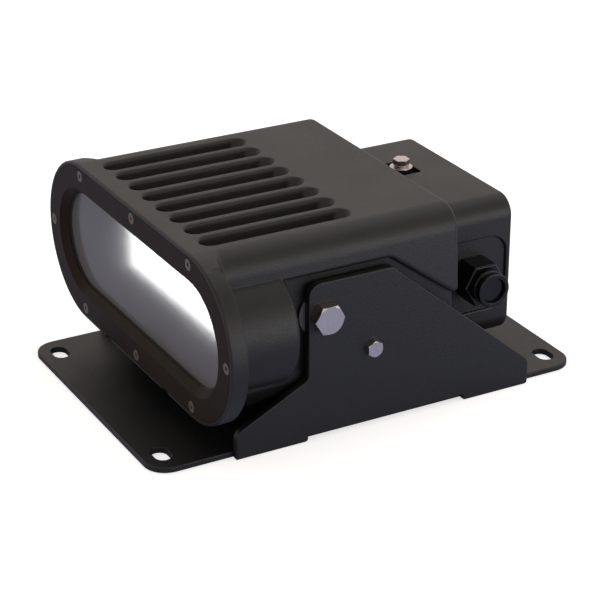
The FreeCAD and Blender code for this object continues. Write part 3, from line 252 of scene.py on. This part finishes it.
class Finish:
    """A material, or the sky, and the nodes that make it."""

    def __init__(self, name, made=None):
        self.material = made or bpy.data.materials.new(name)
        self.material.use_nodes = True
        self.tree = self.material.node_tree
        self.tree.nodes.clear()

    def node(self, kind, settings=None, inputs=None, output=0):
        """Adds a node of that kind, with its settings and the values or links of its sockets."""
        made = self.tree.nodes.new(kind)
        for name, value in (settings or {}).items():
            if name == "stops":
                stops = made.color_ramp.elements
                while len(stops) < len(value):
                    stops.new(1.0)
                for stop, (place, color) in zip(stops, value):
                    stop.position, stop.color = place, color_of(color)
            else:
                setattr(made, name, value)
        for name, value in (inputs or {}).items():
            if isinstance(value, Wire):
                self.tree.links.new(value.socket, made.inputs[name])
            else:
                made.inputs[name].default_value = value
        return Wire(self, made.outputs[output] if made.outputs else None)

    def place(self):
        """The point on the piece, in metres."""
        return self.node("ShaderNodeTexCoord", output="Object")

    def noise(self, width, detail=2.0, spread=0.5):
        """Cloudy values whose patches are about that wide."""
        return self.node(
            "ShaderNodeTexNoise", None,
            {"Vector": self.place(), "Scale": 1 / width, "Detail": detail, "Roughness": spread},
        )

    def grains(self, width):
        """Values from 0 in the middle of each grain to 1 between the grains."""
        return self.node("ShaderNodeTexVoronoi", None, {"Vector": self.place(), "Scale": 1 / width})

    def between(self, factor, first, second):
        """A colour between two others."""
        return self.node(
            "ShaderNodeMix", {"data_type": "RGBA"},
            {0: factor, 6: color_of(first), 7: color_of(second)}, output=2,
        )

    def bump(self, height, depth, edge=0.0):
        """A normal tipped by that height, whose full swing is depth, and softened near edges."""
        inputs = {"Strength": 1.0, "Distance": depth, "Height": height}
        if edge:
            inputs["Normal"] = self.node("ShaderNodeBevel", {"samples": 6}, {"Radius": edge})
        return self.node("ShaderNodeBump", None, inputs)

    def surface(self, inputs):
        """Ends the finish in one Principled shader."""
        shader = self.node("ShaderNodeBsdfPrincipled", None, inputs)
        self.node("ShaderNodeOutputMaterial", None, {"Surface": shader})
        return self.material


def color_of(value):
    """A wire as it is, and a plain colour with its fourth number."""
    return value if isinstance(value, Wire) else (*value[:3], 1.0)


def shade(color, factor):
    """A colour made lighter or darker."""
    return tuple(min(1.0, part * factor) for part in color)


def keeps(make):
    """A finish is made once and then used again."""
    made = {}

    def finish(*words):
        if words not in made:
            made[words] = make(*words)
        return made[words]

    return finish


@keeps
def textured_coat(part):
    """Fine textured powder coat, with the grain that breaks up its sheen."""
    coat = bpy.context.scene.floodlight_coat
    edges = bpy.context.scene.floodlight_edges
    softness = edges.casting if part == "casting" else edges.plate
    color = tuple(getattr(coat, part))
    finish = Finish(f"textured_coat_{part}")
    grain = finish.noise(coat.grain, 3.0, 0.6)
    pits = finish.grains(coat.grain * 2.2)
    clouds = finish.noise(38 * MM, 2.0)
    tint = finish.between(clouds, shade(color, 0.9), shade(color, 1.12))
    speckle = finish.between((grain - 0.5) * 1.6 + 0.35, tint, shade(color, 1.55))
    return finish.surface({
        "Base Color": speckle,
        "Roughness": coat.roughness + (grain - 0.5) * 0.22 + (clouds - 0.5) * 0.12,
        "Specular IOR Level": 0.5,
        "Normal": finish.bump(grain * 0.75 + pits * 0.25, coat.grain_height, softness),
    })


@keeps
def smooth_coat():
    """Smoother powder coat of the clamping plates, with a slight orange peel."""
    coat = bpy.context.scene.floodlight_coat
    color = tuple(coat.ring)
    finish = Finish("smooth_coat")
    peel = finish.noise(1.6 * MM, 2.0)
    clouds = finish.noise(45 * MM, 2.0)
    return finish.surface({
        "Base Color": finish.between(clouds, shade(color, 0.88), shade(color, 1.15)),
        "Roughness": 0.5 + (peel - 0.5) * 0.1 + (clouds - 0.5) * 0.1,
        "Specular IOR Level": 0.08,
        "Normal": finish.bump(peel, 0.00004, bpy.context.scene.floodlight_edges.plate),
    })


@keeps
def turned_steel(across, up, axis):
    """Bright stainless steel, faced in a lathe round the axis at those two places."""
    finish = Finish(f"turned_steel_{axis}_{round(across * 1000)}")
    flat = {"X": (0.0, 1.0, 1.0), "Z": (1.0, 1.0, 0.0)}[axis]
    middle = {"X": (0.0, across, up), "Z": (across, up, 0.0)}[axis]
    away = finish.node("ShaderNodeVectorMath", {"operation": "SUBTRACT"}, {0: finish.place(), 1: middle})
    level = finish.node("ShaderNodeVectorMath", {"operation": "MULTIPLY"}, {0: away, 1: flat})
    radius = finish.node("ShaderNodeVectorMath", {"operation": "LENGTH"}, {0: level}, output="Value")
    turns = radius * (2 * math.pi / (0.55 * MM))
    rings = turns.sum("SINE", turns)
    streaks = finish.noise(2.5 * MM, 3.0)
    return finish.surface({
        "Base Color": finish.between(streaks, (0.52, 0.48, 0.47), (0.64, 0.59, 0.58)),
        "Metallic": 1.0,
        "Roughness": 0.20 + rings * 0.03 + (streaks - 0.5) * 0.08,
        "Normal": finish.bump(rings * 0.3 + streaks, 0.000003),
    })


@keeps
def screw_steel():
    """Stainless steel of the small screws, a little dull and warm."""
    finish = Finish("screw_steel")
    dirt = finish.noise(1.5 * MM, 3.0)
    scratches = finish.noise(0.35 * MM, 2.0)
    return finish.surface({
        "Base Color": finish.between(dirt, (0.17, 0.13, 0.10), (0.26, 0.21, 0.17)),
        "Metallic": 0.9,
        "Roughness": 0.5 + (scratches - 0.5) * 0.2,
        "Normal": finish.bump(scratches, 0.00001),
    })


@keeps
def window_pane():
    """Toughened glass with a slight haze; its grey base colour is a painted reflection of the pale
    studio.
    """
    window = bpy.context.scene.floodlight_window
    painted_reflection_grey = tuple(window.glass)
    finish = Finish("window_pane")
    haze = finish.noise(30 * MM, 2.0)
    # Painted reflection: the grey base colour stands in for the studio's reflection in the pane
    return finish.surface({
        "Base Color": finish.between(haze, shade(painted_reflection_grey, 0.94), shade(painted_reflection_grey, 1.06)),
        "Roughness": 0.13 + (haze - 0.5) * 0.02,
        "Specular IOR Level": 0.3,
        "Alpha": window.cover,
    })


@keeps
def opal_sheet():
    """Opal diffuser, even and slightly glossy."""
    window = bpy.context.scene.floodlight_window
    finish = Finish("opal_sheet")
    cloud = finish.noise(20 * MM, 2.0)
    return finish.surface({
        "Base Color": finish.between(cloud, shade(tuple(window.opal), 0.96), tuple(window.opal)),
        "Roughness": 0.35 + (cloud - 0.5) * 0.06,
    })


@keeps
def glossy_moulding():
    """Black moulded polyamide with faint flow marks."""
    finish = Finish("glossy_moulding")
    flow = finish.noise(4 * MM, 3.0)
    peel = finish.noise(0.8 * MM, 2.0)
    return finish.surface({
        "Base Color": finish.between(flow, (0.0026, 0.0026, 0.0030), (0.0044, 0.0044, 0.0050)),
        "Roughness": 0.24 + (flow - 0.5) * 0.1,
        "Specular IOR Level": 0.36,
        "Normal": finish.bump(peel, 0.00001, bpy.context.scene.floodlight_edges.moulding),
    })


@keeps
def seal_rubber():
    """Dull black silicone rubber."""
    finish = Finish("seal_rubber")
    bloom = finish.noise(2.0 * MM, 3.0)
    return finish.surface({
        "Base Color": finish.between(bloom, (0.012, 0.012, 0.012), (0.028, 0.028, 0.027)),
        "Roughness": 0.72 + (bloom - 0.5) * 0.15,
        "Normal": finish.bump(bloom, 0.00003),
    })


@keeps
def plain_finish(name, dark, light, roughness, metallic, width):
    """A finish of the pieces inside: two close colours in patches of that width."""
    finish = Finish(name)
    patches = finish.noise(width, 3.0)
    return finish.surface({
        "Base Color": finish.between(patches, dark, light),
        "Metallic": metallic,
        "Roughness": roughness + (patches - 0.5) * 0.15,
        "Normal": finish.bump(patches, 0.00001),
    })


def brass():
    return plain_finish("brass", (0.52, 0.38, 0.16), (0.66, 0.50, 0.24), 0.32, 1.0, 1.2 * MM)


def nylon():
    return plain_finish("nylon", (0.07, 0.07, 0.07), (0.11, 0.11, 0.11), 0.5, 0.0, 1.0 * MM)


def circuit_board():
    return plain_finish("circuit_board", (0.74, 0.74, 0.71), (0.82, 0.82, 0.80), 0.45, 0.0, 6 * MM)


def phosphor():
    return plain_finish("phosphor", (0.78, 0.60, 0.14), (0.90, 0.74, 0.26), 0.4, 0.0, 0.8 * MM)


def driver_case():
    return plain_finish("driver_case", (0.46, 0.46, 0.47), (0.60, 0.60, 0.61), 0.36, 1.0, 0.7 * MM)


def terminal_plastic():
    return plain_finish("terminal_plastic", (0.55, 0.53, 0.48), (0.64, 0.62, 0.57), 0.5, 0.0, 1.5 * MM)


# Pieces


def paint(piece, material):
    """Gives a piece one finish."""
    piece.data.materials.clear()
    piece.data.materials.append(material)


def dress(nodes, material):
    """Finishes CAD nodes that keep their own shape."""
    for node in nodes:
        paint(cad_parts[node], material)


def refine(node, body, material, radius, lips=None):
    """A merged copy of a CAD node whose sharp edges are rounded, in the node's place.

    Edges that the lips test picks are rounded first, in the mesh itself.
    """
    shape = bmesh.new()
    shape.from_mesh(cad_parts[node].data)
    bmesh.ops.remove_doubles(shape, verts=shape.verts, dist=SAME_PLACE)
    bmesh.ops.dissolve_limit(
        shape, angle_limit=FLAT_TURN, use_dissolve_boundaries=False,
        verts=shape.verts, edges=shape.edges,
    )
    if lips:
        rounded = [edge for edge in shape.edges if lips(edge)]
        if not rounded:
            raise RuntimeError(f"{node} has no lips to round")
        bmesh.ops.bevel(
            shape, geom=rounded, offset=radius, offset_type="OFFSET", segments=3, profile=0.5,
            affect="EDGES", clamp_overlap=False, material=-1,
        )
    for face in shape.faces:
        face.smooth = True
    mesh = bpy.data.meshes.new(f"{node}_dressed")
    shape.to_mesh(mesh)
    shape.free()
    piece = bpy.data.objects.new(f"{node}_dressed", mesh)
    bpy.context.scene.collection.objects.link(piece)
    if radius:
        edges = piece.modifiers.new("Rounded edges", "BEVEL")
        edges.width = radius
        edges.segments = 2
        edges.limit_method = "ANGLE"
        edges.angle_limit = SHARP_TURN
        edges.use_clamp_overlap = True
        edges.harden_normals = False
    even = piece.modifiers.new("Flat faces stay flat", "WEIGHTED_NORMAL")
    even.weight = 100
    even.keep_sharp = True
    paint(piece, material)
    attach(piece, body)
    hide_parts(node)
    return piece


def round_barrel(piece):
    """Gives the barrel's faces the normals of a true cylinder, which their long slivers lack."""
    drawn = piece.evaluated_get(bpy.context.evaluated_depsgraph_get())
    mesh = bpy.data.meshes.new_from_object(drawn)
    normals = [corner.vector.copy() for corner in mesh.corner_normals]
    turned = 0
    for face in mesh.polygons:
        points = [mesh.vertices[vertex].co for vertex in face.vertices]
        ways = [way_out(point) for point in points]
        between_ends = all(BARREL_FRONT < point.y < BARREL_REAR for point in points)
        at_radius = all(abs(way.length - BARREL_RADIUS) < BARREL_SLACK for way in ways)
        if between_ends and at_radius and face.normal.dot(ways[0].normalized()) > BARREL_FIT:
            turned += 1
            for corner, way in zip(face.loop_indices, ways):
                normals[corner] = way.normalized()
    if not turned:
        raise RuntimeError("the housing has no barrel faces")
    mesh.normals_split_custom_set(normals)
    piece.modifiers.clear()
    piece.data = mesh


def spot_lip():
    """A test for the edges of the terminal box that run round the gland's spot face."""
    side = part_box("terminal_box")[1][0]
    middle = middle_of("gland_washer")

    def is_on_it(edge):
        ends = [vertex.co for vertex in edge.verts]
        level = all(abs(end.x - side) < SPOT_SLACK for end in ends)
        near = all(max(abs(end.y - middle[1]), abs(end.z - middle[2])) < SPOT_REACH for end in ends)
        return level and near and edge.calc_face_angle(0.0) > RIM_TURN

    return is_on_it


def way_out(point):
    """From the barrel's inner line to a point, square to the window's direction."""
    along = max(-BARREL_HALF, min(BARREL_HALF, point.x))
    return Vector((point.x - along, 0.0, point.z - BARREL_HEIGHT))


def middle_of(node):
    """Middle of a CAD node."""
    low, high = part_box(node)
    return [(low[i] + high[i]) / 2 for i in range(3)]


class PieceOperator:
    """What the operators of the pieces share."""

    bl_options = {"REGISTER", "UNDO"}

    def execute(self, context):
        self.make(context.scene)
        return {"FINISHED"}


class FLOODLIGHT_OT_bracket(PieceOperator, Operator):
    """Dress the base plate and the two side plates"""

    bl_idname = "floodlight.bracket"
    bl_label = "Bracket"

    def make(self, scene):
        for node in ("base_plate", "side_plate_left", "side_plate_right"):
            refine(node, BRACKET, textured_coat("bracket"), scene.floodlight_edges.plate)


class FLOODLIGHT_OT_castings(PieceOperator, Operator):
    """Dress the housing and the terminal box"""

    bl_idname = "floodlight.castings"
    bl_label = "Castings"

    def make(self, scene):
        radius = scene.floodlight_edges.casting
        coat = textured_coat("casting")
        round_barrel(refine("housing", HEAD, coat, 0.0))
        refine("terminal_box", HEAD, coat, radius, spot_lip())


class FLOODLIGHT_OT_plates(PieceOperator, Operator):
    """Dress the clamping ring, the rear cover and their screws"""

    bl_idname = "floodlight.plates"
    bl_label = "Ring and cover"

    def make(self, scene):
        edges = scene.floodlight_edges
        for node in ("front_ring", "terminal_cover"):
            refine(node, HEAD, smooth_coat(), edges.plate)
        for node in ("ring_screws", "cover_screws"):
            refine(node, HEAD, screw_steel(), edges.bolt)


class FLOODLIGHT_OT_window(PieceOperator, Operator):
    """Dress the glass pane, its seals and the opal plate"""

    bl_idname = "floodlight.window"
    bl_label = "Window"

    def make(self, scene):
        refine("window_glass", HEAD, window_pane(), scene.floodlight_edges.bolt)
        dress(["diffuser"], opal_sheet())
        dress(["front_gasket", "rear_gasket"], seal_rubber())


class FLOODLIGHT_OT_bolts(PieceOperator, Operator):
    """Dress the pivot bolts, the lock screws and the friction washers"""

    bl_idname = "floodlight.bolts"
    bl_label = "Pivot and lock"

    def make(self, scene):
        radius = scene.floodlight_edges.bolt
        for node, body in (("pivot_bolts", HEAD), ("lock_screws", BRACKET)):
            middle = middle_of(node)
            refine(node, body, turned_steel(middle[1], middle[2], "X"), radius)
        dress(["pivot_washers"], nylon())


class FLOODLIGHT_OT_gland(PieceOperator, Operator):
    """Dress the cable gland"""

    bl_idname = "floodlight.gland"
    bl_label = "Cable gland"

    def make(self, scene):
        for node in ("gland_body", "gland_nut", "gland_blank"):
            refine(node, HEAD, glossy_moulding(), scene.floodlight_edges.moulding)
        dress(["gland_washer", "gland_sleeve"], seal_rubber())


class FLOODLIGHT_OT_earth(PieceOperator, Operator):
    """Dress the outer earth terminal"""

    bl_idname = "floodlight.earth"
    bl_label = "Earth terminal"

    def make(self, scene):
        middle = middle_of("earth_screw")
        for node in ("earth_screw", "earth_spring_washer", "earth_washer"):
            refine(node, HEAD, turned_steel(middle[0], middle[1], "Z"), scene.floodlight_edges.bolt)


class FLOODLIGHT_OT_inside(PieceOperator, Operator):
    """Finish the light source, the driver and the terminals inside"""

    bl_idname = "floodlight.inside"
    bl_label = "Inside"

    def make(self, scene):
        dress(["heat_pad", "box_seal", "cover_seal"], seal_rubber())
        dress(["led_board"], circuit_board())
        dress(["led_chips"], phosphor())
        dress(["led_driver"], driver_case())
        dress(["board_screws", "driver_screws", "box_screws"], screw_steel())
        dress(["line_bushing", "clamp_screws", "inner_earth_screw"], brass())
        dress(["terminal_block"], terminal_plastic())


class FLOODLIGHT_OT_studio(PieceOperator, Operator):
    """Set up the camera, the lamps and the floor"""

    bl_idname = "floodlight.studio"
    bl_label = "Studio"

    def make(self, scene):
        studio = scene.floodlight_studio
        self.set_camera(scene, studio)
        self.set_floor(studio)
        self.set_sky(scene, studio)
        self.add_lamp("overhead_softbox", SOFTBOX, LAMP_TARGET, studio.softbox)
        self.add_lamp("side_panel", SIDE_PANEL, LAMP_TARGET, studio.side_panel)
        self.add_window_strip(studio)
        scene.view_settings.view_transform = "Standard"

    def set_camera(self, scene, studio):
        level = math.cos(studio.elevation)
        way = Vector((
            math.sin(studio.azimuth) * level,
            -math.cos(studio.azimuth) * level,
            math.sin(studio.elevation),
        ))
        camera = bpy.data.objects.new("photo_camera", bpy.data.cameras.new("photo_camera"))
        scene.collection.objects.link(camera)
        camera.location = Vector(studio.target) + way * studio.distance
        camera.rotation_euler = way.to_track_quat("Z", "Y").to_euler()
        camera.data.sensor_width = 36.0
        camera.data.lens = studio.lens
        scene.camera = camera

    def set_floor(self, studio):
        shape = bmesh.new()
        bmesh.ops.create_grid(shape, x_segments=1, y_segments=1, size=FLOOR_REACH)
        bmesh.ops.translate(shape, verts=shape.verts, vec=(0.0, 0.0, -FLOOR_GAP))
        mesh = bpy.data.meshes.new("floor")
        shape.to_mesh(mesh)
        shape.free()
        floor = bpy.data.objects.new("floor", mesh)
        bpy.context.scene.collection.objects.link(floor)
        finish = Finish("studio_floor")
        seen = finish.node("ShaderNodeLightPath", output="Is Camera Ray")
        mirrored = finish.node("ShaderNodeLightPath", output="Is Glossy Ray")
        paint(floor, finish.surface({
            "Base Color": finish.between(seen, tuple(studio.floor), (0.9, 0.9, 0.9)),
            "Roughness": 0.9,
            "Specular IOR Level": 0.0,
            "Emission Color": (1.0, 1.0, 1.0, 1.0),
            "Emission Strength": seen * 0.62 + mirrored * 0.04,
        }))

    def set_sky(self, scene, studio):
        scene.world = bpy.data.worlds.new("sky")
        sky = Finish("sky", scene.world)
        way = sky.node("ShaderNodeTexCoord", output="Generated")
        height = sky.node("ShaderNodeSeparateXYZ", None, {"Vector": way}, output="Z")
        horizon, zenith = tuple(studio.horizon), tuple(studio.zenith)
        stops = [(0.0, horizon), (0.42, horizon), (0.95, zenith)]
        light = sky.node("ShaderNodeValToRGB", {"stops": stops}, {"Fac": height})
        seen = sky.node("ShaderNodeLightPath", output="Is Camera Ray")
        through = sky.node("ShaderNodeLightPath", output="Is Transmission Ray")
        color = sky.between(seen + through, light, (1.0, 1.0, 1.0))
        background = sky.node("ShaderNodeBackground", None, {"Color": color})
        sky.node("ShaderNodeOutputWorld", None, {"Surface": background})

    def add_window_strip(self, studio):
        """Adds the strip lamp before the window, which shows only as the glass's reflection."""
        middle, width, height = STRIP
        place = middle + Vector((0.0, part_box("window_glass")[0][1], 0.0))
        target = place + Vector((0.0, 1.0, 0.0))
        lamp = self.add_lamp("window_strip", (place, width, height), target, studio.window_strip)
        lamp.visible_camera = False
        lamp.visible_diffuse = False
        receivers = bpy.data.collections.new("window_strip_receivers")
        receivers.objects.link(bpy.data.objects["window_glass_dressed"])
        lamp.light_linking.receiver_collection = receivers

    def add_lamp(self, name, panel, target, power):
        """Adds an area lamp of that place and size, turned to the target."""
        place, width, height = panel
        lamp = bpy.data.lights.new(name, "AREA")
        lamp.shape = "RECTANGLE"
        lamp.size, lamp.size_y = width, height
        lamp.energy = power
        made = bpy.data.objects.new(name, lamp)
        bpy.context.scene.collection.objects.link(made)
        made.location = place
        made.rotation_euler = (place - target).to_track_quat("Z", "Y").to_euler()
        return made


OPERATORS = (
    FLOODLIGHT_OT_bracket,
    FLOODLIGHT_OT_castings,
    FLOODLIGHT_OT_plates,
    FLOODLIGHT_OT_window,
    FLOODLIGHT_OT_bolts,
    FLOODLIGHT_OT_gland,
    FLOODLIGHT_OT_earth,
    FLOODLIGHT_OT_inside,
    FLOODLIGHT_OT_studio,
)

SETTINGS = {
    "floodlight_coat": CoatSettings,
    "floodlight_edges": EdgeSettings,
    "floodlight_window": WindowSettings,
    "floodlight_studio": StudioSettings,
}


class FLOODLIGHT_PT_panel(Panel):
    """The floodlight's sizes, colours and pieces"""

    bl_idname = "FLOODLIGHT_PT_panel"
    bl_label = "Floodlight"
    bl_space_type = "VIEW_3D"
    bl_region_type = "UI"
    bl_category = "Floodlight"

    def draw(self, context):
        for name, group in SETTINGS.items():
            box = self.layout.box()
            for size in group.__annotations__:
                box.prop(getattr(context.scene, name), size)
        for operator in OPERATORS:
            self.layout.operator(operator.bl_idname)


CLASSES = (*SETTINGS.values(), *OPERATORS, FLOODLIGHT_PT_panel)


def register():
    for made in CLASSES:
        bpy.utils.register_class(made)
    for name, group in SETTINGS.items():
        setattr(bpy.types.Scene, name, PointerProperty(type=group))


def unregister():
    for name in SETTINGS:
        delattr(bpy.types.Scene, name)
    for made in reversed(CLASSES):
        bpy.utils.unregister_class(made)


def main():
    register()
    bpy.ops.floodlight.bracket()
    bpy.ops.floodlight.castings()
    bpy.ops.floodlight.plates()
    bpy.ops.floodlight.window()
    bpy.ops.floodlight.bolts()
    bpy.ops.floodlight.gland()
    bpy.ops.floodlight.earth()
    bpy.ops.floodlight.inside()
    bpy.ops.floodlight.studio()


if __name__ == "__main__":
    main()
